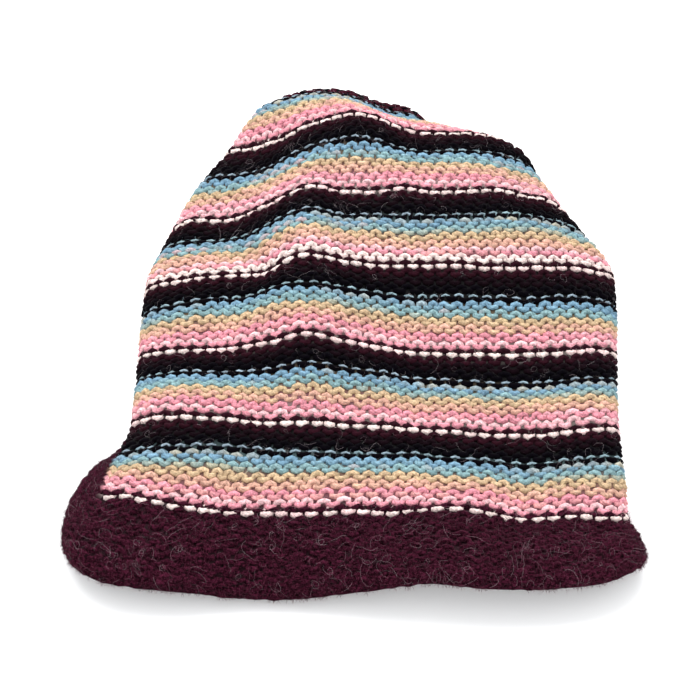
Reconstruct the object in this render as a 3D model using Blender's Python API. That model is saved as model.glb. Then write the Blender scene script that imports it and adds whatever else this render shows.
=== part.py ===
"""Slouchy beanie: a hand-knit hat lying flat on its back, front up, brim towards -Y.

The hat is one knitted tube that closes at the crown. It is told here in courses, the
rounds of knitting, counted from the brim's free edge. Every course is a closed line
round the wall's middle: across the front from the left fold to the right fold, and back
along the side that lies on the floor. Units are metres, +Z up, +Y from brim to crown.
"""

import math

import bpy
import numpy as np

# Driving sizes
WALL = 0.004                 # two thicknesses of the yarn, as the knitting measures
BAND_COURSES = 12.0          # courses of plain brim below the stripes
SHAPING_COURSE = 45.0        # where the crown starts to narrow
TIP_COURSE = 78.0            # where the crown is drawn together
FOLD_RADIUS = 0.0045         # tightest turn of the wall's middle at the folds
SEAM_GAP = 0.0003            # between two neighbouring pieces of the wall
POINTS_ROUND = 64            # points on one course
BEND_SHARE = 0.03            # metres of run that a bend of one radian counts as
ROW_STEP = 2.5               # courses between two rows of faces on the striped wall
SEAM_STEP = 0.5              # the first row of faces either side of a seam
ORIGIN = (0.0018, 0.1426, 0.0)   # middle of the hat's footprint, in the table's frame

# One row for each section up the hat, in metres but for course, corner and wrap.
# left, right: the folds. *_y: how far up the floor the course lies at the left fold, the
# middle of the front, the right fold and the back layer. top: height of the front layer.
# side: height of the folds. floor: height of the back layer. corner: how square the
# front turns into its folds, seen from above. wrap: the share of the left fold's turn
# that carries on under the hat.
SECTION_COLUMNS = ("course", "left", "right", "left_y", "front_y", "right_y", "back_y",
                   "top", "side", "floor", "corner", "wrap")
SECTIONS = (
    (0.0, -0.1222, 0.1255, 0.0195, -0.0048, 0.012, 0.047, 0.0118, 0.0066, 0.002, 8.0, 1.0),
    (2.0, -0.1240, 0.127, 0.0240, -0.0033, 0.0137, 0.053, 0.0145, 0.0081, 0.002, 8.0, 1.0),
    (4.0, -0.1245, 0.127, 0.0305, 0.0000, 0.0163, 0.059, 0.0165, 0.0091, 0.002, 8.0, 1.0),
    (7.5, -0.1215, 0.125, 0.0455, 0.0116, 0.0240, 0.070, 0.0180, 0.0100, 0.002, 9.0, 1.0),
    (12.0, -0.1070, 0.121, 0.064, 0.029, 0.035, 0.084, 0.0180, 0.0100, 0.002, 9.0, 1.0),
    (17.0, -0.102, 0.122, 0.074, 0.052, 0.055, 0.100, 0.0190, 0.0100, 0.002, 8.0, 0.6),
    (23.0, -0.099, 0.122, 0.087, 0.077, 0.080, 0.120, 0.0200, 0.0100, 0.002, 8.0, 0.2),
    (34.0, -0.099, 0.125, 0.122, 0.119, 0.124, 0.157, 0.0240, 0.0100, 0.002, 6.0, 0.0),
    (45.0, -0.099, 0.128, 0.163, 0.164, 0.169, 0.194, 0.0300, 0.0110, 0.002, 6.0, 0.0),
    (56.0, -0.087, 0.1085, 0.198, 0.209, 0.213, 0.231, 0.0370, 0.0150, 0.002, 4.0, 0.0),
    (63.0, -0.072, 0.096, 0.232, 0.239, 0.238, 0.252, 0.0405, 0.0190, 0.002, 4.0, 0.0),
    (67.0, -0.064, 0.0845, 0.252, 0.254, 0.247, 0.264, 0.0410, 0.0200, 0.002, 3.0, 0.0),
    (70.0, -0.058, 0.066, 0.266, 0.268, 0.254, 0.274, 0.0400, 0.0210, 0.005, 3.0, 0.0),
    (73.0, -0.051, 0.047, 0.277, 0.279, 0.263, 0.282, 0.0370, 0.0225, 0.009, 2.5, 0.0),
    (75.0, -0.043, 0.033, 0.283, 0.285, 0.272, 0.287, 0.0350, 0.0230, 0.011, 2.0, 0.0),
    (76.8, -0.025, 0.015, 0.288, 0.289, 0.283, 0.290, 0.0320, 0.0235, 0.015, 2.0, 0.0),
    (78.0, -0.004, -0.004, 0.291, 0.291, 0.291, 0.291, 0.0235, 0.0235, 0.0235, 2.0, 0.0),
)

# One row for each fold of the front layer: where it lies, how far it reaches across and
# up the hat, and how far it lifts the cloth and pushes it up the hat.
FOLD_COLUMNS = ("name", "x", "course", "x_reach", "course_reach", "lift", "push")
FOLDS = (
    ("left arch of the brim", -0.082, 1.0, 0.024, 6.0, 0.0020, 0.000),
    ("right arch of the brim", 0.066, 1.0, 0.044, 7.0, 0.0085, -0.001),
    ("brim where it meets the floor", -0.034, 0.0, 0.027, 5.0, -0.0080, 0.0005),
    ("hump over the left of the band", -0.078, 19.0, 0.020, 6.0, 0.0045, 0.000),
    ("hollow over the right of the band", 0.080, 17.0, 0.026, 9.0, -0.0060, 0.000),
    ("hollow right of the middle", 0.040, 27.0, 0.020, 9.0, -0.0035, 0.000),
    ("long ridge left of the middle", -0.022, 37.0, 0.020, 9.0, 0.0085, 0.000),
    ("upper end of the long ridge", -0.018, 50.0, 0.013, 5.0, 0.0055, 0.000),
    ("step beside the long ridge", -0.044, 45.5, 0.008, 3.0, -0.0055, 0.000),
    ("left valley", -0.064, 56.0, 0.018, 8.0, -0.0085, -0.006),
    ("dip right of the ridge", -0.005, 54.0, 0.007, 4.0, -0.0045, 0.000),
    ("middle ridge of the crown", 0.006, 65.0, 0.012, 4.0, 0.0060, 0.000),
    ("dip of the crown", 0.035, 66.0, 0.011, 4.0, -0.0050, 0.000),
    ("left slope of the crown", -0.048, 66.0, 0.014, 5.0, -0.0060, -0.004),
    ("right shoulder", 0.080, 56.0, 0.018, 7.0, 0.0040, 0.000),
    ("dip before the tip", 0.014, 74.5, 0.014, 2.5, -0.0040, -0.003),
)

BURGUNDY = (0.050, 0.014, 0.024, 1.0)
DUSTY_PINK = (0.620, 0.330, 0.360, 1.0)
WOOL_ROUGHNESS = 0.9
SHARP_ANGLE = math.radians(60.0)


def clear_scene():
    for item in list(bpy.data.objects):
        bpy.data.objects.remove(item, do_unlink=True)


def size_at(name, course):
    """A named size at any course, on a smooth curve that never leaves its rows' range."""
    table = np.array(SECTIONS)
    rows = table[:, 0]
    sizes = table[:, SECTION_COLUMNS.index(name)]
    rates = np.diff(sizes) / np.diff(rows)
    slopes = np.gradient(sizes, rows)
    slopes[[0, -1]] = rates[[0, -1]]
    slopes[1:-1][rates[:-1] * rates[1:] <= 0.0] = 0.0
    course = np.clip(course, rows[0], rows[-1])
    low = np.clip(np.searchsorted(rows, course, side="right") - 1, 0, len(rows) - 2)
    span = rows[low + 1] - rows[low]
    s = (course - rows[low]) / span
    return ((2 * s**3 - 3 * s**2 + 1) * sizes[low]
            + (s**3 - 2 * s**2 + s) * span * slopes[low]
            + (3 * s**2 - 2 * s**3) * sizes[low + 1]
            + (s**3 - s**2) * span * slopes[low + 1])


def folds_at(x, course):
    """How far the front layer's folds lift the cloth and push it up the hat."""
    lift = np.zeros_like(x)
    push = np.zeros_like(x)
    for row in FOLDS:
        fold = dict(zip(FOLD_COLUMNS, row))
        across = (x - fold["x"]) / fold["x_reach"]
        along = (course - fold["course"]) / fold["course_reach"]
        share = np.exp(-0.5 * (across**2 + along**2))
        lift += fold["lift"] * share
        push += fold["push"] * share
    return lift, push


def arch(across, power):
    """1 in the middle of a layer, falling to 0 with a round turn at its two folds."""
    return np.sqrt(np.clip(1.0 - across**power, 0.0, 1.0))


def fold_arch(inset, height, radius, half_width):
    """The same for a layer's height, from how tightly the wall turns at the fold."""
    reach = min(height**2 / radius, half_width)
    return arch(np.clip(1.0 - inset / reach, 0.0, 1.0), 2.0)


def skin_sizes(course, out):
    """The sizes of one section, moved square to the wall by out, towards its outside."""
    size = {name: float(size_at(name, course)) for name in SECTION_COLUMNS[1:]}
    ahead = {name: float(size_at(name, course + 0.1)) for name in SECTION_COLUMNS[1:]}
    behind = {name: float(size_at(name, course - 0.1)) for name in SECTION_COLUMNS[1:]}
    layers = (("front_y", "top", -1, 1), ("back_y", "floor", 1, -1),
              ("left_y", "left", 1, -1), ("right_y", "right", -1, 1))
    for up, level, up_sign, level_sign in layers:
        run = ahead[up] - behind[up]
        rise = ahead[level] - behind[level]
        length = np.hypot(run, rise)
        size[up] += up_sign * out * rise / length
        size[level] += level_sign * out * run / length
    return size


def course_line(course, out, points=400):
    """Closed line of one course on a skin: left fold, front, right fold, back layer."""
    size = skin_sizes(course, out)
    signed = -np.cos(np.linspace(0.0, np.pi, points))
    across = np.abs(signed)
    half_width = (size["right"] - size["left"]) / 2
    inset = (1.0 - across) * half_width
    x = (size["left"] + size["right"]) / 2 + signed * half_width
    fold_y = np.where(signed < 0, size["left_y"], size["right_y"])
    lift, push = folds_at(x, course)
    plan = arch(across, size["corner"])
    front_y = fold_y + (size["front_y"] - fold_y + push) * plan
    turn = FOLD_RADIUS + out
    rise = size["top"] - size["side"]
    front_z = size["side"] + (rise + lift) * fold_arch(inset, rise, turn, half_width)
    drop = size["side"] - size["floor"]
    back_z = size["side"] - drop * fold_arch(inset, drop, turn, half_width)
    wrap = np.where(signed < 0, size["wrap"], 0.0)
    back_share = wrap * plan + (1.0 - wrap) * (1.0 - across**2)
    back_y = fold_y + (size["back_y"] - fold_y) * back_share
    front = np.stack([x, front_y, front_z], axis=1)
    back = np.stack([x, back_y, back_z], axis=1)[::-1]
    return np.concatenate([front[:-1], back]) - np.array(ORIGIN)


def tip(out):
    """Where a skin closes: the last course is a single point that faces up the hat."""
    place = [float(size_at(name, TIP_COURSE)) for name in ("left", "left_y", "side")]
    return (place[0] - ORIGIN[0], place[1] - ORIGIN[1] + out, place[2] - ORIGIN[2])


def ring(course, out):
    """One course as points round it, closer together where it turns."""
    line = course_line(course, out)
    steps = np.diff(line, axis=0)
    lengths = np.linalg.norm(steps, axis=1)
    ways = steps / lengths[:, None]
    bends = np.linalg.norm(ways - np.roll(ways, 1, axis=0), axis=1)
    run = np.concatenate([[0.0], np.cumsum(lengths + BEND_SHARE * bends)])
    at = run[-1] * np.arange(POINTS_ROUND) / POINTS_ROUND
    return np.stack([np.interp(at, run, line[:, axis]) for axis in range(3)], axis=1)


def unit(vectors):
    return vectors / np.linalg.norm(vectors, axis=1, keepdims=True)


def skin(courses, out, seams):
    """The rings of one skin, those at its seams (first or last) moved half the gap."""
    rings = [ring(course, out) for course in courses]
    for seam in seams:
        edge = rings[seam]
        along = unit(np.roll(edge, -1, axis=0) - np.roll(edge, 1, axis=0))
        away = rings[1 if seam == 0 else -2] - edge
        away -= along * np.sum(away * along, axis=1, keepdims=True)
        rings[seam] = edge + unit(away) * SEAM_GAP / 2
    return rings


def wool(name, colour):
    material = bpy.data.materials.new(name)
    material.use_nodes = True
    shader = material.node_tree.nodes["Principled BSDF"]
    shader.inputs["Base Color"].default_value = colour
    shader.inputs["Roughness"].default_value = WOOL_ROUGHNESS
    shader.inputs["Metallic"].default_value = 0.0
    return material


def strip(low, high):
    """Faces between two rings of points, each given by its first point's number."""
    faces = []
    for column in range(POINTS_ROUND):
        beside = (column + 1) % POINTS_ROUND
        faces.append((low + column, low + beside, high + beside, high + column))
    return faces


def knitted_wall(name, courses, seams, closed, material, collection):
    """A loft between unlike sections, with an outer and an inner skin.

    The skins meet in a rim at each open end. A closed wall ends in a tip on each skin.
    """
    points = []
    faces = []
    firsts = []
    for out, order in ((WALL / 2, 1), (-WALL / 2, -1)):
        rings = skin(courses, out, seams)
        first = len(points)
        firsts.append(first)
        points.extend(tuple(p) for row in rings for p in row)
        for row in range(len(rings) - 1):
            low = first + row * POINTS_ROUND
            faces.extend(face[::order] for face in strip(low, low + POINTS_ROUND))
        if closed:
            last = first + (len(rings) - 1) * POINTS_ROUND
            points.append(tip(out))
            for column in range(POINTS_ROUND):
                beside = (column + 1) % POINTS_ROUND
                faces.append((last + column, last + beside, len(points) - 1)[::order])
    outer, inner = firsts
    faces.extend(face[::-1] for face in strip(outer, inner))
    if not closed:
        end = (len(courses) - 1) * POINTS_ROUND
        faces.extend(strip(outer + end, inner + end))
    mesh = bpy.data.meshes.new(name)
    mesh.from_pydata(points, [], faces)
    mesh.materials.append(material)
    mesh.shade_smooth()
    mesh.set_sharp_from_angle(angle=SHARP_ANGLE)
    wall = bpy.data.objects.new(name, mesh)
    collection.objects.link(wall)


def brim_band(collection):
    """The plain band: an open tube whose free edge arches clear of the floor."""
    courses = (0.0, 1.5, 3.0, 5.0, 7.5, 9.5, BAND_COURSES - SEAM_STEP, BAND_COURSES)
    wool_burgundy = wool("burgundy_wool", BURGUNDY)
    knitted_wall("brim_band", courses, (-1,), False, wool_burgundy, collection)


def slouch(striped, collection):
    """The straight part of the striped tube, between the band and the crown."""
    first = BAND_COURSES + ROW_STEP
    last = SHAPING_COURSE - ROW_STEP
    rows = np.linspace(first, last, round((last - first) / ROW_STEP) + 1)
    courses = (BAND_COURSES, BAND_COURSES + SEAM_STEP, *rows,
               SHAPING_COURSE - SEAM_STEP, SHAPING_COURSE)
    knitted_wall("slouch", courses, (0, -1), False, striped, collection)


def crown(striped, collection):
    """The narrowing part of the striped tube, up to the tip that closes it."""
    steps = int((TIP_COURSE - SHAPING_COURSE) / ROW_STEP)
    rows = np.linspace(SHAPING_COURSE + ROW_STEP, TIP_COURSE, steps)[:-1]
    courses = (SHAPING_COURSE, SHAPING_COURSE + SEAM_STEP, *rows, TIP_COURSE - SEAM_STEP)
    knitted_wall("crown", courses, (0,), True, striped, collection)


def main():
    clear_scene()
    beanie = bpy.data.collections.new("slouchy_beanie")
    bpy.context.scene.collection.children.link(beanie)
    brim_band(beanie)
    striped = wool("striped_wool", DUSTY_PINK)
    slouch(striped, beanie)
    crown(striped, beanie)


main()
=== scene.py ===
"""Slouchy beanie, dressed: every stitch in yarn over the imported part's form.

The form is told in courses, as in the part's source: rounds of knitting, counted from the
brim's free edge. Each course here is one round of yarn. Its loops stand in the loops of
the course below and show their purl side. Stray fibres stand and lie on the yarn.
Units are metres, +Z up, +Y from brim to crown. The camera's elevation is in degrees.
"""

import math

import bpy
import numpy as np
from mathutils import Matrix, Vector

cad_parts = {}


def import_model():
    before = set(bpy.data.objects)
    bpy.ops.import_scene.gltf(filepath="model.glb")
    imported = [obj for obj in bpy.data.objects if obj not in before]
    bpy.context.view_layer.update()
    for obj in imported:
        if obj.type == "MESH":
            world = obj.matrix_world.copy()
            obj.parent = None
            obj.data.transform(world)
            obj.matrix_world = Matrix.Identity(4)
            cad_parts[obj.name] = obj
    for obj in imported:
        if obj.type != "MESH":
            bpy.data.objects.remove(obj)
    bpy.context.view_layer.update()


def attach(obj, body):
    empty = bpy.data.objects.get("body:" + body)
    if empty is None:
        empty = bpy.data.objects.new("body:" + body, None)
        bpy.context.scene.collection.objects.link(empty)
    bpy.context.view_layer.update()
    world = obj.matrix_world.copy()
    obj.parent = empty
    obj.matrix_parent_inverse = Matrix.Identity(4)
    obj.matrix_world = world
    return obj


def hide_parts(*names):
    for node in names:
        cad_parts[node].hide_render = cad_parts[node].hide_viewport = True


# The hat's form: the part's tables, with some rows fitted closer to the photo. left, right:
# the folds. *_y: how far up the floor a course lies at the left fold, the middle of the
# front, the right fold and the back layer. top, side, floor: heights of the front layer, the
# folds and the back layer. corner: how square the front turns into its folds. wrap: the
# share of the left fold's turn that carries on under the hat.
SECTION_COLUMNS = ("course", "left", "right", "left_y", "front_y", "right_y", "back_y",
                   "top", "side", "floor", "corner", "wrap")
SECTIONS = (
    (0.0, -0.1222, 0.1255, 0.0195, -0.0048, 0.0135, 0.047, 0.0118, 0.0066, 0.002, 8.0, 1.0),
    (2.0, -0.1240, 0.127, 0.0240, -0.0033, 0.0150, 0.053, 0.0145, 0.0081, 0.002, 8.0, 1.0),
    (4.0, -0.1245, 0.127, 0.0305, 0.0000, 0.0163, 0.059, 0.0165, 0.0091, 0.002, 9.0, 1.0),
    (7.5, -0.1222, 0.125, 0.0425, 0.0116, 0.0240, 0.070, 0.0180, 0.0100, 0.002, 10.0, 0.9),
    (12.0, -0.1130, 0.121, 0.054, 0.029, 0.035, 0.084, 0.0180, 0.0100, 0.002, 48.0, 0.5),
    (17.0, -0.1075, 0.122, 0.064, 0.052, 0.055, 0.100, 0.0190, 0.0100, 0.002, 40.0, 0.25),
    (23.0, -0.099, 0.122, 0.084, 0.077, 0.080, 0.120, 0.0200, 0.0100, 0.002, 8.0, 0.0),
    (34.0, -0.099, 0.125, 0.122, 0.119, 0.124, 0.157, 0.0240, 0.0100, 0.002, 6.0, 0.0),
    (45.0, -0.099, 0.1285, 0.163, 0.164, 0.172, 0.194, 0.0300, 0.0110, 0.002, 6.0, 0.0),
    (56.0, -0.0885, 0.1080, 0.198, 0.209, 0.213, 0.231, 0.0370, 0.0150, 0.002, 4.0, 0.0),
    (63.0, -0.0750, 0.0945, 0.231, 0.2365, 0.236, 0.252, 0.0405, 0.0190, 0.002, 5.0, 0.0),
    (67.0, -0.063, 0.0880, 0.252, 0.254, 0.246, 0.264, 0.0410, 0.0200, 0.002, 4.0, 0.0),
    (70.0, -0.0565, 0.066, 0.266, 0.268, 0.2500, 0.274, 0.0400, 0.0210, 0.005, 3.0, 0.0),
    (73.0, -0.050, 0.045, 0.277, 0.279, 0.2590, 0.282, 0.0370, 0.0225, 0.009, 2.5, 0.0),
    (75.0, -0.0440, 0.041, 0.283, 0.2845, 0.2640, 0.286, 0.0350, 0.0230, 0.011, 2.0, 0.0),
    (76.8, -0.023, 0.034, 0.2870, 0.2875, 0.2680, 0.2885, 0.0325, 0.0240, 0.015, 2.0, 0.0),
    (78.0, 0.010, 0.010, 0.2815, 0.2815, 0.2815, 0.2815, 0.0270, 0.0270, 0.0270, 2.0, 0.0),
)

# Folds of the front layer: where each lies, how far it reaches both ways, how far it lifts
# the cloth and how far it pushes it up the hat
FOLD_COLUMNS = ("name", "x", "course", "x_reach", "course_reach", "lift", "push")
FOLDS = (
    ("left arch of the brim", -0.082, 1.0, 0.024, 6.0, 0.0020, 0.000),
    ("right arch of the brim", 0.066, 1.0, 0.044, 7.0, 0.0085, -0.001),
    ("brim where it meets the floor", -0.034, 0.0, 0.027, 5.0, -0.0080, 0.0005),
    ("hump over the left of the band", -0.078, 19.0, 0.020, 6.0, 0.0045, 0.000),
    ("hollow over the right of the band", 0.080, 17.0, 0.026, 9.0, -0.0060, 0.000),
    ("hollow right of the middle", 0.040, 27.0, 0.020, 9.0, -0.0035, 0.000),
    ("long ridge left of the middle", -0.022, 37.0, 0.020, 9.0, 0.0085, 0.000),
    ("upper end of the long ridge", -0.018, 50.0, 0.013, 5.0, 0.0055, 0.000),
    ("step beside the long ridge", -0.044, 45.5, 0.008, 3.0, -0.0055, 0.000),
    ("left valley", -0.064, 56.0, 0.018, 8.0, -0.0085, -0.006),
    ("dip right of the ridge", -0.005, 54.0, 0.007, 4.0, -0.0045, 0.000),
    ("middle ridge of the crown", 0.006, 65.0, 0.012, 4.0, 0.0060, 0.000),
    ("dip of the crown", 0.035, 66.0, 0.011, 4.0, -0.0050, 0.000),
    ("left slope of the crown", -0.048, 66.0, 0.014, 5.0, -0.0060, -0.004),
    ("right shoulder", 0.080, 56.0, 0.018, 7.0, 0.0040, 0.000),
    ("dip before the tip", 0.022, 72.0, 0.014, 2.3, -0.0050, -0.0065),
    ("first stripe drawn up at the left", -0.108, 12.0, 0.019, 3.0, 0.0, 0.0085),
    ("closed end of the crown", 0.018, 76.5, 0.011, 2.2, -0.0035, -0.0040),
    ("notch in the brim", 0.034, 0.0, 0.009, 2.5, 0.0013, 0.0010),
    ("slope before the right shoulder", 0.055, 70.0, 0.014, 3.5, -0.0040, -0.0020),
    ("brim slack at the right", 0.071, 0.5, 0.024, 3.5, -0.0012, -0.0020),
    ("first stripe drawn up at the right", 0.046, 12.0, 0.014, 5.0, 0.0, 0.0033),
    ("second stripe slack at the left", -0.030, 23.0, 0.016, 5.0, 0.0, -0.0020),
    ("second stripe slack in the middle", 0.008, 23.0, 0.012, 5.0, 0.0, -0.0020),
    ("second stripe slack at the right", 0.078, 23.0, 0.030, 7.0, 0.0, -0.0030),
    ("third stripe slack at the left", -0.056, 34.0, 0.012, 5.0, 0.0, -0.0025),
    ("third stripe slack at the right", 0.088, 34.0, 0.020, 6.0, 0.0, -0.0028),
    ("fourth stripe drawn up at the right", 0.122, 45.0, 0.020, 3.5, 0.0, 0.0050),
    ("blue stripe drawn up at the right", 0.095, 52.0, 0.028, 3.5, 0.0, 0.0040),
)
FOLD_RADIUS = 0.0045         # how tightly the wall turns at its left and right folds
ORIGIN = (0.0018, 0.1426, 0.0)
TIP_COURSE = 78.0
BAND_COURSES = 12
COURSE_POINTS = 400          # on one layer of a course, before they are spaced evenly

# The form as a grid of points: GRID_ROUND points on a course, starting at the left fold
GRID_STEP = 0.25
GRID_ROUND = 740
GRID_LAST = 77.9

# How unevenly the courses run: by how many courses or stitches, over how many courses, and
# how many times in a round
WANDER = 0.40
WANDER_COURSES = 5.0
WANDER_ROUND = 28
WANDER_SEED = 5

# Knitting. A loop is a wave: low between two stitches, high at a stitch's head. Lengths
# across are in stitches, up the hat in courses, and outwards in metres.
STITCHES_ROUND = 74
STITCH_WIDTH = 0.0063        # where the crown narrows, stitches are dropped to keep this
LAST_ROW = 76
LOOP_HALF = 0.83             # a loop's half height, which makes it hold the loop below
LOOP_BULGE = 0.18            # how far a loop's shoulders reach round its neighbours
LOOP_DEPTH = 0.00080         # heads and feet stand out, legs lie in
LOOP_POINT = 0.02            # how much tighter a loop turns at its head and foot
LOOP_STEP = 2.0              # how suddenly a loop goes from standing out to lying in
SEGMENTS = 12                # of yarn in a stitch
SIDES = 5                    # of the yarn
TWIST_LENGTH = 0.011         # of yarn in one turn of its plies
ROUND_SHIFT = 0.7            # along the yarn, so that no two rounds have the same streaks
YARN_RADIUS = 0.00137
BAND_YARN_RADIUS = 0.00142   # the band is fulled, so its yarn is thicker and closer
BAND_START = 0.35            # the course where the band's first round of yarn lies
UV_MARGIN = 0.05             # of a round's strip
FIBRE_UV = (0.1, 0.9)        # from root to end, in a fibre's cell
FIBRE_SIDES_UV = (0.2, 0.8)

# The lowest that anything of each kind lies above the floor
YARN_CLEARANCE = 0.00005
FIBRE_CLEARANCE = 0.00010
BACKING_CLEARANCE = 0.00020

# How uneven the loops are: aside in stitches, up in courses, outwards in metres, and in the
# yarn's radius as a share of it. The first three grow by how loose the knitting is.
UNEVEN_ASIDE = 0.04
UNEVEN_UP = 0.08
UNEVEN_OUT = 0.00018
LONG_SWELL = 0.08
SHORT_SWELL = 0.07
BAND_LOOSE = 2.0
STRIPES_LOOSE = 1.35
KNITTING_SEED = 11

# The cast-on edge, in the same measures
EDGE_COURSE = 0.18
EDGE_RADIUS = 0.00150
EDGE_UNEVEN_UP = 0.10
EDGE_UNEVEN_OUT = 0.0004
EDGE_SWELL = 0.12

# Where the first stripes turn up at the left fold: how steeply their yarn has to run up the
# hat before the band's colour starts to cover it, and over what range it does
FOLDED_ROWS = 8              # rounds above the band that turn up
TURN_STARTS = 0.55
TURN_RANGE = 0.15

# Matted wool inside the wall, darkened as painted shade in the gaps between the loops
BACKING_WALL = 0.0008
BACKING_ROUND = 148
BACKING_STEP = 2             # courses between its rows of faces
BACKING_LAG = 0.8            # courses by which its colours run behind the rounds of yarn
# shares of the row's colour that make the painted shade in the gaps
BACKING_SHADE = 0.24
BAND_BACKING_SHADE = 0.45

# Stripes, from the brim up. The colours come round again every REPEAT courses.
REPEAT = 11
COLOURS = {
    "cream": (252, 230, 224),
    "pale pink": (250, 202, 206),
    "pink": (242, 160, 174),
    "dusty pink": (236, 168, 172),
    "salmon": (232, 182, 162),
    "tan": (218, 188, 152),
    "straw": (212, 190, 146),
    "teal": (146, 180, 184),
    "blue": (130, 168, 192),
    "grey blue": (158, 176, 190),
    "black": (8, 5, 11),
    "plum black": (22, 9, 16),
    "dark burgundy": (46, 17, 27),
    "brim burgundy": (56, 18, 33),
    "tip burgundy": (66, 22, 36),
}
WOOL_SHARE = 0.74            # of each colour, because this scene's light is strong

# The colours of one repeat's rounds, first at a round's low loops and then at its heads.
# A long-striping yarn changes colour all the time, so the two need not be the same.
STRIPES = (
    ("cream", "pale pink"),
    ("pink", "pink"),
    ("pink", "salmon"),
    ("salmon", "tan"),
    ("tan", "teal"),
    ("teal", "blue"),
    ("blue", "grey blue"),
    ("black", "black"),
    ("black", "plum black"),
    ("plum black", "dark burgundy"),
    ("dark burgundy", "dark burgundy"),
)
CHANGE_SHARPNESS = 5.0       # of the step from the low colour to the high one
CHANGE_WANDER = 0.12         # of a loop's height, up and down

# Rounds where the yarn stays cream for longer
LONG_CREAM = {45: ("cream", "cream"), 46: ("cream", "pale pink")}

# The rounds from here close the crown in burgundy
TIP_ROW = 75

# The place in the repeat of the round whose heads are worn thin, by how much of the radius,
# and how dark its legs are between which heights, where black loops cover them
THIN_HEADS = 6
HEAD_THINNING = 0.60
HIDDEN_LEGS = (0.30, 0.90)
HIDDEN_LEG_SHADE = 0.12

# What the repeat's light rounds drift towards, how far, and how much the long changes of
# colour and the short flecks take part in it. Long cream rounds drift less.
DRIFTS = ("pale pink", "pale pink", "salmon", "straw", "dusty pink", "straw", "teal")
DRIFT_SHARE = 0.6
CREAM_DRIFT_SHARE = 0.3
DRIFT_BY_LONG = 0.9
DRIFT_BY_SHORT = 0.5
LONG_CHANGES = 9             # in a round
FLECK_POINTS = 5             # of yarn to a fleck

# How much lighter and darker the yarn goes, and how dark the painted shade makes a loop's legs
# that lie in
BAND_DRIFT = 0.16
FLECK = 0.10
LEG_SHADE = 0.66
MOTTLING = {"burgundy_wool": 0.80, "striped_wool": 0.24}

# The wool's plies and fibres, as noise a metre: along the yarn and across it, and in spots
STREAKS = (200.0, 1300.0, 1300.0)
SPOTS = 800.0

# The pieces of yarn: name, node, slot, first and last round
PIECES = (
    ("brim_yarn", "brim_band", "burgundy_wool", 0, 11),
    ("lower_stripes_yarn", "slouch", "striped_wool", 12, 28),
    ("middle_stripes_yarn", "slouch", "striped_wool", 29, 44),
    ("upper_stripes_yarn", "crown", "striped_wool", 45, 60),
    ("crown_stripes_yarn", "crown", "striped_wool", 61, LAST_ROW),
)

# The matted wool inside them: name, node, slot, first and last course
BACKINGS = (
    ("brim_backing", "brim_band", "burgundy_wool", 0.6, 12.5),
    ("stripes_backing", "crown", "striped_wool", 12.5, 77.5),
)

# Short fibres that stand on them: name, node, slot, how many, length, width, and the tint
# that light in the fibres adds
HAZES = (
    ("brim_haze", "brim_band", "burgundy_wool", 54000, 0.0018, 0.00012, (0.11, 0.024, 0.044)),
    ("stripes_haze", "crown", "striped_wool", 30000, 0.0013, 0.00011, (0.02, 0.015, 0.017)),
)
HAZE_POINTS = 3
HAZE_STAND = 0.8             # how much a fibre keeps to the way out, against any way
HAZE_ROOT = 0.9              # of the yarn's radius, where it starts
HAZE_BEND = 0.45             # of its length, at its end
HAZE_LENGTHS = (0.5, 1.5)
HAZE_SHADES = (0.7, 1.5)
FIBRE_WIDTHS = (0.6, 1.2)

# Long hairs that lie over them: name, node, slot, first and last course, how many, length,
# width and tint
STRAYS = (
    ("brim_strays", "brim_band", "burgundy_wool", 0.0, 12.5, 1150, 0.010, 0.00006,
     (0.24, 0.17, 0.19)),
    ("stripes_strays", "crown", "striped_wool", 12.0, 76.0, 2400, 0.009, 0.00006,
     (0.24, 0.20, 0.21)),
)
STRAY_POINTS = 11
STRAY_LENGTHS = (0.4, 1.6)
STRAY_CURL = 560.0           # radians a metre
STRAY_SHAKE = 0.35           # radians a step
STRAY_LIFTS = (0.0010, 0.0034)
STRAY_SINK = 0.0006          # how far its ends lie in the outermost wool
STRAY_ARCH = 0.7             # the lower, the steeper its ends
STRAY_SHADES = (1.3, 0.8, 0.12)

FLOOR_REACH = 3.0
PAPER = (0.93, 0.93, 0.935, 1.0)
PAPER_GLOW = 0.17            # keeps the shadows as light as the photo's
ROOM_COLOUR = (0.98, 0.99, 1.0, 1.0)
ROOM_LIGHT = 1.22
WINDOW_PLACE = (-0.15, 0.75, 1.35)
WINDOW_SIZE = (1.6, 1.0)
WINDOW_POWER = 27.0

LOOK_AT = (-0.0018, -0.0040, 0.0)
CAMERA_DISTANCE = 0.855
CAMERA_ELEVATION = 50.0
CAMERA_LENS = 90.87


def size_at(name, course):
    """A named size at any course, on a smooth curve that never leaves its rows' range."""
    table = np.array(SECTIONS)
    rows = table[:, 0]
    sizes = table[:, SECTION_COLUMNS.index(name)]
    rates = np.diff(sizes) / np.diff(rows)
    slopes = np.gradient(sizes, rows)
    slopes[[0, -1]] = rates[[0, -1]]
    slopes[1:-1][rates[:-1] * rates[1:] <= 0.0] = 0.0
    course = np.clip(course, rows[0], rows[-1])
    low = np.clip(np.searchsorted(rows, course, side="right") - 1, 0, len(rows) - 2)
    span = rows[low + 1] - rows[low]
    s = (course - rows[low]) / span
    return ((2 * s**3 - 3 * s**2 + 1) * sizes[low]
            + (s**3 - 2 * s**2 + s) * span * slopes[low]
            + (3 * s**2 - 2 * s**3) * sizes[low + 1]
            + (s**3 - s**2) * span * slopes[low + 1])


def folds_at(x, course):
    """How far the front layer's folds lift the cloth and push it up the hat."""
    lift = np.zeros_like(x)
    push = np.zeros_like(x)
    for row in FOLDS:
        fold = dict(zip(FOLD_COLUMNS, row))
        across = (x - fold["x"]) / fold["x_reach"]
        along = (course - fold["course"]) / fold["course_reach"]
        share = np.exp(-0.5 * (across**2 + along**2))
        lift += fold["lift"] * share
        push += fold["push"] * share
    return lift, push


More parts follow.
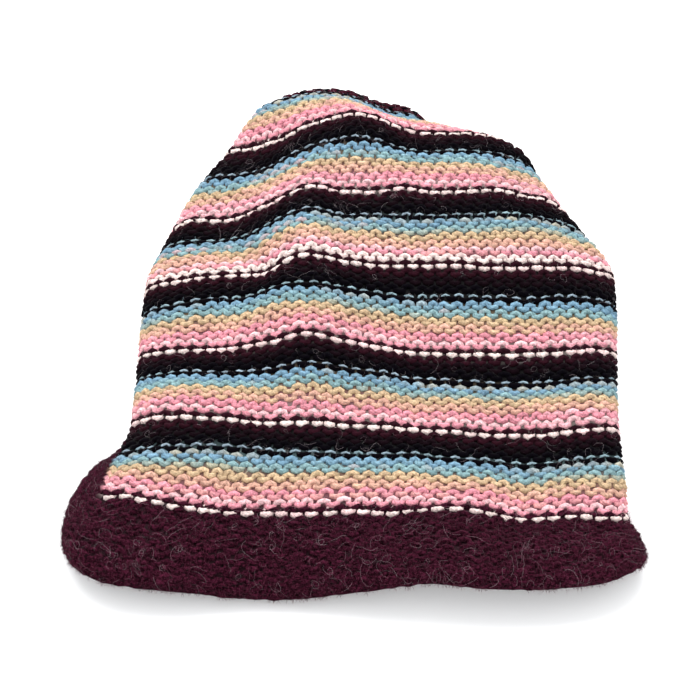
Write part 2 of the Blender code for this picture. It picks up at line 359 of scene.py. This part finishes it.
def arch(across, power):
    """1 in the middle of a layer, falling to 0 with a round turn at its two folds."""
    return np.sqrt(np.clip(1.0 - across**power, 0.0, 1.0))


def fold_arch(inset, height, half_width):
    """The same for a layer's height, from how tightly the wall turns at the fold."""
    reach = min(height**2 / FOLD_RADIUS, half_width)
    return arch(np.clip(1.0 - inset / reach, 0.0, 1.0), 2.0)


def course_line(course):
    """Closed line of one course: left fold, front, right fold, back layer."""
    size = {name: float(size_at(name, course)) for name in SECTION_COLUMNS[1:]}
    signed = -np.cos(np.linspace(0.0, np.pi, COURSE_POINTS))
    across = np.abs(signed)
    half_width = (size["right"] - size["left"]) / 2
    inset = (1.0 - across) * half_width
    x = (size["left"] + size["right"]) / 2 + signed * half_width
    fold_y = np.where(signed < 0, size["left_y"], size["right_y"])
    lift, push = folds_at(x, course)
    plan = arch(across, size["corner"])
    front_y = fold_y + (size["front_y"] - fold_y + push) * plan
    rise = size["top"] - size["side"]
    front_z = size["side"] + (rise + lift) * fold_arch(inset, rise, half_width)
    drop = size["side"] - size["floor"]
    back_z = size["side"] - drop * fold_arch(inset, drop, half_width)
    wrap = np.where(signed < 0, size["wrap"], 0.0)
    back_share = wrap * plan + (1.0 - wrap) * (1.0 - across**2)
    back_y = fold_y + (size["back_y"] - fold_y) * back_share
    front = np.stack([x, front_y, front_z], axis=1)
    back = np.stack([x, back_y, back_z], axis=1)[::-1]
    return np.concatenate([front[:-1], back]) - np.array(ORIGIN)


def unit(vectors):
    return vectors / np.linalg.norm(vectors, axis=-1, keepdims=True)


def even_ring(course):
    """One course as evenly spaced points, and its girth."""
    line = course_line(course)
    run = np.concatenate([[0.0], np.cumsum(np.linalg.norm(np.diff(line, axis=0), axis=1))])
    at = run[-1] * np.arange(GRID_ROUND) / GRID_ROUND
    return np.stack([np.interp(at, run, line[:, axis]) for axis in range(3)], axis=1), run[-1]


def soft_field(rng, courses):
    """Random values from about -1 to 1 all over the grid, which change gently both ways."""
    rows = courses / WANDER_COURSES
    knots = rng.uniform(-1.0, 1.0, (int(rows[-1]) + 2, WANDER_ROUND))
    low = rows.astype(int)
    up = rows - low
    up = (up * up * (3.0 - 2.0 * up))[:, None]
    at = np.arange(GRID_ROUND) * WANDER_ROUND / GRID_ROUND
    left = at.astype(int)
    over = at - left
    over = over * over * (3.0 - 2.0 * over)
    right = (left + 1) % WANDER_ROUND
    below = knots[low][:, left] * (1 - over) + knots[low][:, right] * over
    above = knots[low + 1][:, left] * (1 - over) + knots[low + 1][:, right] * over
    return below * (1 - up) + above * up


class Form:
    """The middle of the hat's wall, as points and outward directions."""

    def __init__(self):
        self.courses = np.append(np.arange(0.0, GRID_LAST, GRID_STEP), GRID_LAST)
        rings = [even_ring(course) for course in self.courses]
        self.points = np.array([ring for ring, girth in rings])
        self.girths = np.array([girth for ring, girth in rings])
        self.wander()
        self.across = unit(np.roll(self.points, -1, axis=1) - np.roll(self.points, 1, axis=1))
        self.along = np.gradient(self.points, self.courses, axis=0)
        self.out = unit(np.cross(self.across, self.along))

    def wander(self):
        """Let the courses run a little unevenly, within the same form."""
        rng = np.random.default_rng(WANDER_SEED)
        here = np.repeat(self.courses[:, None], GRID_ROUND, axis=1)
        turn = np.repeat(np.arange(GRID_ROUND)[None, :] / GRID_ROUND, len(self.courses), axis=0)
        calm = np.clip(here / WANDER_COURSES, 0.0, 1.0)
        calm = calm * np.clip((TIP_COURSE - here) / WANDER_COURSES, 0.0, 1.0)
        course = here + WANDER * calm * soft_field(rng, self.courses)
        turn = turn + WANDER * calm * soft_field(rng, self.courses) / STITCHES_ROUND
        self.points = self.sample(self.points, np.clip(course, 0.0, GRID_LAST), turn)

    def girth(self, course):
        return np.interp(course, self.courses, self.girths)

    def sample(self, grid, course, turn):
        """Values of a grid at courses and turns, a turn being the share of the way round."""
        at = np.interp(course, self.courses, np.arange(len(self.courses)))
        low = np.clip(at.astype(int), 0, len(self.courses) - 2)
        up = (at - low)[..., None]
        column = (turn % 1.0) * GRID_ROUND
        left = column.astype(int) % GRID_ROUND
        right = (left + 1) % GRID_ROUND
        over = (column - np.floor(column))[..., None]
        below = grid[low, left] * (1 - over) + grid[low, right] * over
        above = grid[low + 1, left] * (1 - over) + grid[low + 1, right] * over
        return below * (1 - up) + above * up

    def place(self, course, turn, out):
        """Points that stand out from the wall's middle, and the outward direction there."""
        away = unit(self.sample(self.out, course, turn))
        return self.sample(self.points, course, turn) + away * out[..., None], away


def smooth_noise(rng, count, knots):
    """A closed run of random values from about -1 to 1 that turns gently at its knots."""
    values = rng.uniform(-1.0, 1.0, knots)
    at = np.arange(count) * knots / count
    low = at.astype(int)
    share = at - low
    share = share * share * (3.0 - 2.0 * share)
    return values[low % knots] * (1 - share) + values[(low + 1) % knots] * share


def stitch_counts(form):
    """How many stitches each course has, the crown's shaping included."""
    counts = []
    for row in range(LAST_ROW + 1):
        fits = round(float(form.girth(row + LOOP_HALF)) / STITCH_WIDTH)
        counts.append(min(STITCHES_ROUND, fits, counts[-1] if counts else STITCHES_ROUND))
    return counts


def stitch_feet(count, below):
    """Where each stitch stands, as turns: over its one or two heads of the course below."""
    first = np.floor(np.arange(count + 1) * below / count)
    return (first[:-1] + first[1:]) / 2 / below


def colour(name):
    """A named colour as the shader wants it, off the usual curve of screen colours."""
    share = np.array(COLOURS[name]) / 255.0
    linear = np.where(share <= 0.04045, share / 12.92, ((share + 0.055) / 1.055) ** 2.4)
    return WOOL_SHARE * linear


def row_colour(row):
    """The plain colour of a course's yarn."""
    if row < BAND_COURSES:
        return colour("brim burgundy")
    return colour(STRIPES[(row - BAND_COURSES) % REPEAT][0])


def yarn_colours(row, points, height, turned, rng):
    """The colour of each point of a course's yarn, from low loop (0) to head (1)."""
    drift = smooth_noise(rng, points, LONG_CHANGES)
    fleck = smooth_noise(rng, points, points // FLECK_POINTS)
    if row < BAND_COURSES:
        tints = colour("brim burgundy") * (1.0 + BAND_DRIFT * drift)[:, None]
    else:
        place = (row - BAND_COURSES) % REPEAT
        low, high = (colour(name) for name in LONG_CREAM.get(row, STRIPES[place]))
        middle = height - 0.5 + CHANGE_WANDER * drift
        change = np.clip(middle * CHANGE_SHARPNESS + 0.5, 0.0, 1.0)[:, None]
        tints = low * (1 - change) + high * change
        if place == THIN_HEADS:
            tints[(height > HIDDEN_LEGS[0]) & (height < HIDDEN_LEGS[1])] *= HIDDEN_LEG_SHADE
        if row >= TIP_ROW:
            tints = np.tile(colour("tip burgundy"), (points, 1))
        elif place < len(DRIFTS):
            most = CREAM_DRIFT_SHARE if row in LONG_CREAM else DRIFT_SHARE
            part = np.clip(DRIFT_BY_LONG * drift + DRIFT_BY_SHORT * fleck, 0.0, 1.0) * most
            part = part[:, None]
            tints = tints * (1 - part) + colour(DRIFTS[place]) * part
        tints = tints * (1 - turned[:, None]) + colour("brim burgundy") * turned[:, None]
    return tints * (1.0 + FLECK * fleck)[:, None]


def turned_up(form, row, course, turn, centre):
    """Where the first stripes turn up at the left fold, which the band's colour covers."""
    if row >= BAND_COURSES + FOLDED_ROWS:
        return np.zeros(len(turn))
    way = form.sample(form.across, np.clip(course, 0.0, GRID_LAST), turn)
    steep = np.clip((np.abs(way[:, 1]) - TURN_STARTS) / TURN_RANGE, 0.0, 1.0)
    return np.where(centre[:, 0] < 0.0, steep, 0.0)


def painted_leg_shade(out):
    """Painted shade: how much darker the legs that lie in are than the loops' heads and feet."""
    share = np.clip(0.5 + 0.5 * out / LOOP_DEPTH, 0.0, 1.0)
    return LEG_SHADE + (1.0 - LEG_SHADE) * share


def course_of(row):
    """Where a round of yarn starts, and how far it is to the next round, in courses."""
    if row >= BAND_COURSES:
        return float(row), 1.0
    pitch = (BAND_COURSES - BAND_START) / BAND_COURSES
    return BAND_START + pitch * row, pitch


def knit_row(form, counts, row, rng):
    """One course of yarn as points, with what stands round each of them."""
    count = counts[row]
    points = count * SEGMENTS
    phase = 2 * np.pi * np.arange(points) / SEGMENTS
    index = phase / (2 * np.pi) - 0.5
    feet = stitch_feet(count, counts[max(row - 1, 0)])
    feet = np.concatenate([[feet[-1] - 1.0], feet, [feet[0] + 1.0]])
    foot = np.interp(index, np.arange(-1, count + 1), feet)
    head = (index + 0.5) / count
    rise = (1.0 - np.cos(phase)) / 2
    loose = BAND_LOOSE if row < BAND_COURSES else STRIPES_LOOSE
    aside = UNEVEN_ASIDE * loose * smooth_noise(rng, points, count * 2)
    turn = foot * (1 - rise) + head * rise
    turn += (LOOP_BULGE * np.sin(2 * phase) + aside) / count
    wave = (np.cos(phase) + LOOP_POINT * np.cos(3 * phase)) / (1.0 + LOOP_POINT)
    start, pitch = course_of(row)
    uneven = UNEVEN_UP * loose * smooth_noise(rng, points, count * 2)
    course = start + pitch * (LOOP_HALF * (1.0 - wave) + uneven)
    out = LOOP_DEPTH * np.tanh(LOOP_STEP * np.cos(2 * phase)) / np.tanh(LOOP_STEP)
    out += UNEVEN_OUT * loose * smooth_noise(rng, points, count * 2)
    centre, away = form.place(np.clip(course, 0.0, GRID_LAST), turn, out)
    thick = BAND_YARN_RADIUS if row < BAND_COURSES else YARN_RADIUS
    height = (1.0 - wave) / 2
    if row >= BAND_COURSES and (row - BAND_COURSES) % REPEAT == THIN_HEADS:
        thick = thick * (1.0 - HEAD_THINNING * height**2)
    turned = turned_up(form, row, course, turn, centre)
    swell = LONG_SWELL * smooth_noise(rng, points, count)
    swell = 1.0 + swell + SHORT_SWELL * smooth_noise(rng, points, count * 3)
    # the legs that lie in get painted shade
    tints = yarn_colours(row, points, height, turned, rng) * painted_leg_shade(out)[:, None]
    return {"centre": centre, "away": away, "radius": thick * swell, "out": out, "colour": tints}


def edge_row(form, rng):
    """The cast-on edge: one round of yarn that runs straight through the first loops."""
    points = STITCHES_ROUND * SEGMENTS
    turn = np.arange(points) / points
    course = EDGE_COURSE + EDGE_UNEVEN_UP * smooth_noise(rng, points, STITCHES_ROUND)
    out = EDGE_UNEVEN_OUT * smooth_noise(rng, points, STITCHES_ROUND * 2)
    centre, away = form.place(course, turn, out)
    swell = EDGE_SWELL * smooth_noise(rng, points, STITCHES_ROUND * 2)
    radius = EDGE_RADIUS * (1.0 + swell)
    tints = yarn_colours(0, points, np.zeros(points), np.zeros(points), rng)
    return {"centre": centre, "away": away, "radius": radius, "out": out, "colour": tints}


def mesh_of(name, verts, corners, starts):
    """A mesh from vertices, the faces' corners in one run, and where each face starts."""
    mesh = bpy.data.meshes.new(name)
    mesh.vertices.add(len(verts))
    mesh.vertices.foreach_set("co", verts.ravel())
    mesh.loops.add(len(corners))
    mesh.loops.foreach_set("vertex_index", corners)
    mesh.polygons.add(len(starts))
    mesh.polygons.foreach_set("loop_start", starts)
    mesh.update(calc_edges=True)
    return mesh


def add_skin(mesh, uvs, tints):
    """Give a mesh the place of each corner in its bake, and the colour of each vertex."""
    uv = mesh.uv_layers.new(name="OFBake")
    uv.data.foreach_set("uv", uvs.ravel())
    shade = mesh.attributes.new("wool_colour", "FLOAT_COLOR", "POINT")
    shade.data.foreach_set("color", np.hstack([tints, np.ones((len(tints), 1))]).ravel())


def yarn_mesh(name, rows):
    """A mesh of closed tubes, one to a course, with straightened coordinates for the wool."""
    verts = []
    quads = []
    straight = []
    tints = []
    uvs = []
    first = 0
    strip = 1.0 - 2 * UV_MARGIN
    around = 2 * np.pi * np.arange(SIDES) / SIDES
    for number, row in enumerate(rows):
        centre = row["centre"]
        points = len(centre)
        way = unit(np.roll(centre, -1, axis=0) - np.roll(centre, 1, axis=0))
        side = unit(np.cross(way, row["away"]))
        up = np.cross(side, way)
        radius = row["radius"][:, None, None]
        ring = (np.cos(around)[None, :, None] * side[:, None]
                + np.sin(around)[None, :, None] * up[:, None])
        skin = centre[:, None] + radius * ring
        skin[..., 2] = np.maximum(skin[..., 2], YARN_CLEARANCE)
        verts.append(skin.reshape(-1, 3))
        run = np.concatenate([[0.0], np.cumsum(np.linalg.norm(np.diff(centre, axis=0), axis=1))])
        twist = around[None, :] + run[:, None] * 2 * np.pi / TWIST_LENGTH
        far = np.repeat(run[:, None], SIDES, axis=1) + ROUND_SHIFT * number
        straight.append(np.stack([far,
                                  row["radius"][:, None] * np.cos(twist),
                                  row["radius"][:, None] * np.sin(twist)],
                                 axis=2).reshape(-1, 3))
        tints.append(np.repeat(row["colour"], SIDES, axis=0))
        here = np.arange(points)[:, None]
        ahead = (here + 1) % points
        spoke = np.arange(SIDES)[None, :]
        next_spoke = (spoke + 1) % SIDES
        quads.append(first + np.stack([here * SIDES + spoke, ahead * SIDES + spoke,
                                       ahead * SIDES + next_spoke, here * SIDES + next_spoke],
                                      axis=2).reshape(-1, 4))
        low_u = np.repeat(here / points, SIDES, axis=1)
        high_u = np.repeat((here + 1) / points, SIDES, axis=1)
        low_v = (number + UV_MARGIN + strip * spoke / SIDES) / len(rows)
        low_v = np.repeat(low_v, points, axis=0)
        high_v = (number + UV_MARGIN + strip * (spoke + 1) / SIDES) / len(rows)
        high_v = np.repeat(high_v, points, axis=0)
        uvs.append(np.stack([low_u, low_v, high_u, low_v, high_u, high_v, low_u, high_v],
                            axis=2).reshape(-1, 2))
        first += points * SIDES
    quads = np.concatenate(quads)
    mesh = mesh_of(name, np.concatenate(verts), quads.ravel(), np.arange(len(quads)) * 4)
    mesh.shade_smooth()
    add_skin(mesh, np.concatenate(uvs), np.concatenate(tints))
    place = mesh.attributes.new("straight_yarn", "FLOAT_VECTOR", "POINT")
    place.data.foreach_set("vector", np.concatenate(straight).ravel())
    return mesh


def ribbon_mesh(name, paths, facing, width, tints):
    """A mesh of thin ribbons that taper to a point, one to a fibre."""
    fibres, points = paths.shape[:2]
    way = unit(np.gradient(paths, axis=1))
    side = unit(np.cross(way, facing))
    taper = 1.0 - np.linspace(0.0, 1.0, points)[None, :, None] ** 2
    half = side * taper * width[:, None, None] / 2
    left = (paths - half)[:, :-1]
    right = (paths + half)[:, :-1]
    body = np.stack([left, right], axis=2).reshape(fibres, -1, 3)
    verts = np.concatenate([body, paths[:, -1:]], axis=1)
    verts[..., 2] = np.maximum(verts[..., 2], FIBRE_CLEARANCE)
    each = verts.shape[1]
    pairs = 2 * np.arange(points - 2)[:, None]
    quads = pairs + np.array([[0, 1, 3, 2]])
    end = np.array([each - 3, each - 2, each - 1])
    corners = np.concatenate([quads.ravel(), end])
    starts = np.append(4 * np.arange(points - 2), 4 * (points - 2))
    number = np.arange(fibres)
    mesh = mesh_of(name, verts.reshape(-1, 3),
                   (number[:, None] * each + corners).ravel(),
                   (number[:, None] * len(corners) + starts).ravel())
    columns = math.ceil(math.sqrt(fibres))
    cell = np.stack([number % columns, number // columns], axis=1) / columns
    steps = np.linspace(FIBRE_UV[0], FIBRE_UV[1], points)
    sides = [np.stack([steps[:-1], np.full(points - 1, v)], axis=1) for v in FIBRE_SIDES_UV]
    corner_uv = np.concatenate([np.stack(sides, axis=1).reshape(-1, 2), [[FIBRE_UV[1], 0.5]]])
    uvs = cell[:, None] + corner_uv[corners][None] / columns
    add_skin(mesh, uvs, np.repeat(tints, each, axis=0))
    return mesh


def backing_colour(course):
    """The colour that shows in the gaps between the loops at a course, darkened as painted
    shade.
    """
    share = BAND_BACKING_SHADE if course < BAND_COURSES else BACKING_SHADE
    row = int(np.clip(course - BACKING_LAG, 0, LAST_ROW))
    if (row - BAND_COURSES) % REPEAT == THIN_HEADS:
        row += 1
    return row_colour(row) * share


def backing_mesh(name, form, first, last):
    """Matted wool in the middle of the wall, seen in the gaps between the loops, in painted
    shade.
    """
    courses = np.linspace(first, last, int(round(last - first)) // BACKING_STEP + 1)
    turns = np.arange(BACKING_ROUND) / BACKING_ROUND
    rows = len(courses)
    grid = np.meshgrid(courses, turns, indexing="ij")
    verts = []
    tints = []
    for out in (BACKING_WALL / 2, -BACKING_WALL / 2):
        points, away = form.place(grid[0], grid[1], np.full(grid[0].shape, out))
        verts.append(points.reshape(-1, 3))
        tints.extend(np.tile(backing_colour(course), (BACKING_ROUND, 1)) for course in courses)
    verts = np.concatenate(verts)
    verts[:, 2] = np.maximum(verts[:, 2], BACKING_CLEARANCE)
    column = np.arange(BACKING_ROUND)
    beside = (column + 1) % BACKING_ROUND
    here = np.arange(rows - 1)[:, None] * BACKING_ROUND
    up = here + BACKING_ROUND
    inside = rows * BACKING_ROUND
    outer = np.stack([here + column, here + beside, up + beside, up + column], axis=2)
    outer = outer.reshape(-1, 4)
    inner = (outer + inside)[:, ::-1]
    lower = np.stack([column + inside, beside + inside, beside, column], axis=1)
    upper = (lower + inside - BACKING_ROUND)[:, ::-1]
    faces = np.concatenate([outer, inner, lower, upper])
    u = column / BACKING_ROUND
    step = 1.0 / BACKING_ROUND
    wide = np.stack([u, u + step, u + step, u], axis=1)
    bands = 2 * (rows - 1) + 2
    uvs = []
    for band in range(bands):
        low = np.full(BACKING_ROUND, band / bands)
        high = np.full(BACKING_ROUND, (band + 1) / bands)
        tall = np.stack([low, low, high, high], axis=1)
        uvs.append(np.stack([wide, tall], axis=2).reshape(-1, 2))
    mesh = bpy.data.meshes.new(name)
    mesh.from_pydata(verts.tolist(), [], faces.tolist())
    mesh.shade_smooth()
    add_skin(mesh, np.concatenate(uvs), np.concatenate(tints))
    return mesh


def haze(rows, rng, count, length, width, glow):
    """Short fibres that stand on the yarn."""
    centre = np.concatenate([row["centre"] for row in rows])
    away = np.concatenate([row["away"] for row in rows])
    radius = np.concatenate([row["radius"] for row in rows])
    colours = np.concatenate([row["colour"] for row in rows])
    outer = np.flatnonzero(np.concatenate([row["out"] for row in rows]) > 0.0)
    pick = rng.choice(outer, count)
    toss = unit(rng.normal(size=(count, 3)))
    stand = unit(HAZE_STAND * away[pick] + toss)
    root = centre[pick] + stand * radius[pick, None] * HAZE_ROOT
    bend = unit(rng.normal(size=(count, 3)))
    span = length * rng.uniform(*HAZE_LENGTHS, count)
    steps = np.linspace(0.0, 1.0, HAZE_POINTS)[None, :, None]
    curve = steps * stand[:, None] + HAZE_BEND * steps**2 * bend[:, None]
    paths = root[:, None] + span[:, None, None] * curve
    facing = np.repeat(unit(rng.normal(size=(count, 1, 3))), HAZE_POINTS, axis=1)
    tints = colours[pick] * rng.uniform(*HAZE_SHADES, (count, 1))
    tints = tints + np.array(glow) * rng.uniform(0.0, 1.0, (count, 1))
    return paths, facing, width * rng.uniform(*FIBRE_WIDTHS, count), tints


def strays(form, first, last, rng, count, length, width, tint):
    """Long curly fibres that lie over the knitting."""
    span = length * rng.uniform(*STRAY_LENGTHS, count)
    heading = rng.uniform(0.0, 2 * np.pi, count)
    curl = rng.normal(0.0, STRAY_CURL, count)
    course = rng.uniform(first, last, count)
    turn = rng.uniform(0.0, 1.0, count)
    lift = rng.uniform(*STRAY_LIFTS, count)
    step = span / (STRAY_POINTS - 1)
    paths = []
    facing = []
    for number in range(STRAY_POINTS):
        share = number / (STRAY_POINTS - 1)
        rise = lift * np.sin(np.pi * share) ** STRAY_ARCH
        out = YARN_RADIUS + LOOP_DEPTH - STRAY_SINK + rise
        on_form = np.clip(course, 0.0, GRID_LAST)
        place, away = form.place(on_form, turn, out)
        paths.append(place)
        facing.append(away)
        pitch = np.linalg.norm(form.sample(form.along, on_form, turn), axis=1)
        turn = turn + step * np.cos(heading) / form.girth(course)
        course = course + step * np.sin(heading) / pitch
        heading = heading + curl * step + rng.normal(0.0, STRAY_SHAKE, count)
    tints = np.array(tint)[None] * rng.choice(STRAY_SHADES, (count, 1))
    widths = width * rng.uniform(*FIBRE_WIDTHS, count)
    return np.stack(paths, axis=1), np.stack(facing, axis=1), widths, tints


def set_inputs(node, values):
    for name, value in values.items():
        node.inputs[name].default_value = value


def new_material(name, values):
    """A plain material with named values, and its shader."""
    material = bpy.data.materials.new(name)
    material.use_nodes = True
    shader = material.node_tree.nodes["Principled BSDF"]
    set_inputs(shader, values)
    return material, shader


def attribute(nodes, name):
    node = nodes.new("ShaderNodeAttribute")
    node.attribute_name = name
    return node


def fibre_material(name):
    material, shader = new_material(name, {"Roughness": 0.7, "Specular IOR Level": 0.1})
    tint = attribute(material.node_tree.nodes, "wool_colour")
    material.node_tree.links.new(tint.outputs["Color"], shader.inputs["Base Color"])
    return material


def wool_material(name, mottling):
    """Wool yarn: twisted plies, streaks of fibre along them, and a soft sheen."""
    material, shader = new_material(name, {"Roughness": 0.9, "Specular IOR Level": 0.02,
                                           "Sheen Weight": 0.02, "Sheen Roughness": 0.45})
    nodes = material.node_tree.nodes
    links = material.node_tree.links
    tint = attribute(nodes, "wool_colour")
    place = attribute(nodes, "straight_yarn")
    stretch = nodes.new("ShaderNodeVectorMath")
    stretch.operation = "MULTIPLY"
    stretch.inputs[1].default_value = STREAKS
    links.new(place.outputs["Vector"], stretch.inputs[0])
    streaks = nodes.new("ShaderNodeTexNoise")
    set_inputs(streaks, {"Scale": 1.0, "Detail": 3.0})
    links.new(stretch.outputs[0], streaks.inputs["Vector"])
    levels = nodes.new("ShaderNodeMapRange")
    set_inputs(levels, {"From Min": 0.3, "From Max": 0.7, "To Min": 0.62, "To Max": 1.28})
    links.new(streaks.outputs["Fac"], levels.inputs["Value"])
    spot = nodes.new("ShaderNodeTexNoise")
    set_inputs(spot, {"Scale": SPOTS, "Detail": 3.0, "Roughness": 0.7})
    links.new(nodes.new("ShaderNodeNewGeometry").outputs["Position"], spot.inputs["Vector"])
    mottle = nodes.new("ShaderNodeMapRange")
    set_inputs(mottle, {"From Min": 0.40, "From Max": 0.60,
                        "To Min": 1.0 - mottling, "To Max": 1.0 + mottling})
    links.new(spot.outputs["Fac"], mottle.inputs["Value"])
    both = nodes.new("ShaderNodeMath")
    both.operation = "MULTIPLY"
    links.new(levels.outputs["Result"], both.inputs[0])
    links.new(mottle.outputs["Result"], both.inputs[1])
    mix = nodes.new("ShaderNodeVectorMath")
    mix.operation = "SCALE"
    links.new(tint.outputs["Color"], mix.inputs[0])
    links.new(both.outputs[0], mix.inputs["Scale"])
    links.new(mix.outputs[0], shader.inputs["Base Color"])
    bump = nodes.new("ShaderNodeBump")
    set_inputs(bump, {"Strength": 0.6, "Distance": 0.0003})
    links.new(streaks.outputs["Fac"], bump.inputs["Height"])
    links.new(bump.outputs["Normal"], shader.inputs["Normal"])
    return material


def add_to_scene(name, data):
    item = bpy.data.objects.new(name, data)
    bpy.context.scene.collection.objects.link(item)
    return item


def aim(item, target):
    item.rotation_euler = (target - item.location).to_track_quat("-Z", "Y").to_euler()


def floor():
    far = FLOOR_REACH
    mesh = bpy.data.meshes.new("floor")
    mesh.from_pydata([(-far, -far, 0), (far, -far, 0), (far, far, 0), (-far, far, 0)],
                     [], [(0, 1, 2, 3)])
    item = add_to_scene("floor", mesh)
    # painted light: the paper glows, which lightens the shadows on it
    material, shader = new_material("white_paper", {
        "Base Color": PAPER, "Roughness": 0.8,
        "Emission Color": (1.0, 1.0, 1.0, 1.0), "Emission Strength": PAPER_GLOW})
    mesh.materials.append(material)


def light():
    world = bpy.data.worlds.new("soft_room")
    world.use_nodes = True
    set_inputs(world.node_tree.nodes["Background"],
               {"Color": ROOM_COLOUR, "Strength": ROOM_LIGHT})
    bpy.context.scene.world = world
    lamp = bpy.data.lights.new("window", "AREA")
    lamp.shape = "RECTANGLE"
    lamp.size, lamp.size_y = WINDOW_SIZE
    lamp.energy = WINDOW_POWER
    item = add_to_scene("window", lamp)
    item.location = WINDOW_PLACE
    aim(item, Vector((0.0, 0.0, 0.0)))


def camera():
    data = bpy.data.cameras.new("camera")
    data.lens = CAMERA_LENS
    item = add_to_scene("camera", data)
    angle = math.radians(CAMERA_ELEVATION)
    look = Vector(LOOK_AT)
    item.location = look + CAMERA_DISTANCE * Vector((0.0, -math.cos(angle), math.sin(angle)))
    aim(item, look)
    bpy.context.scene.camera = item


def add_piece(mesh, material, node):
    mesh.materials.append(material)
    item = add_to_scene(mesh.name, mesh)
    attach(item, "root")
    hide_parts(node)
    print(item.name, sum(len(face.vertices) - 2 for face in mesh.polygons), "triangles")


def main():
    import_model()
    form = Form()
    counts = stitch_counts(form)
    rng = np.random.default_rng(KNITTING_SEED)
    wool = {slot: wool_material(slot + "_yarn", mottling) for slot, mottling in MOTTLING.items()}
    knitted = {}
    for name, node, slot, first, last in PIECES:
        rows = [knit_row(form, counts, row, rng) for row in range(first, last + 1)]
        if first == 0:
            rows.append(edge_row(form, rng))
        knitted.setdefault(slot, []).extend(rows)
        add_piece(yarn_mesh(name, rows), wool[slot], node)
    fuzz = fibre_material("wool_fibres")
    # the backing's darkened colour is painted shade in the gaps between the loops
    shaded_felt = fibre_material("felt_in_painted_shade")
    for name, node, slot, first, last in BACKINGS:
        add_piece(backing_mesh(name, form, first, last), shaded_felt, node)
    for name, node, slot, *fibres in HAZES:
        fibres = haze(knitted[slot], rng, *fibres)
        add_piece(ribbon_mesh(name, *fibres), fuzz, node)
    for name, node, slot, first, last, *fibres in STRAYS:
        fibres = strays(form, first, last, rng, *fibres)
        add_piece(ribbon_mesh(name, *fibres), fuzz, node)
    floor()
    light()
    camera()
    bpy.context.scene.view_settings.view_transform = "Standard"


main()
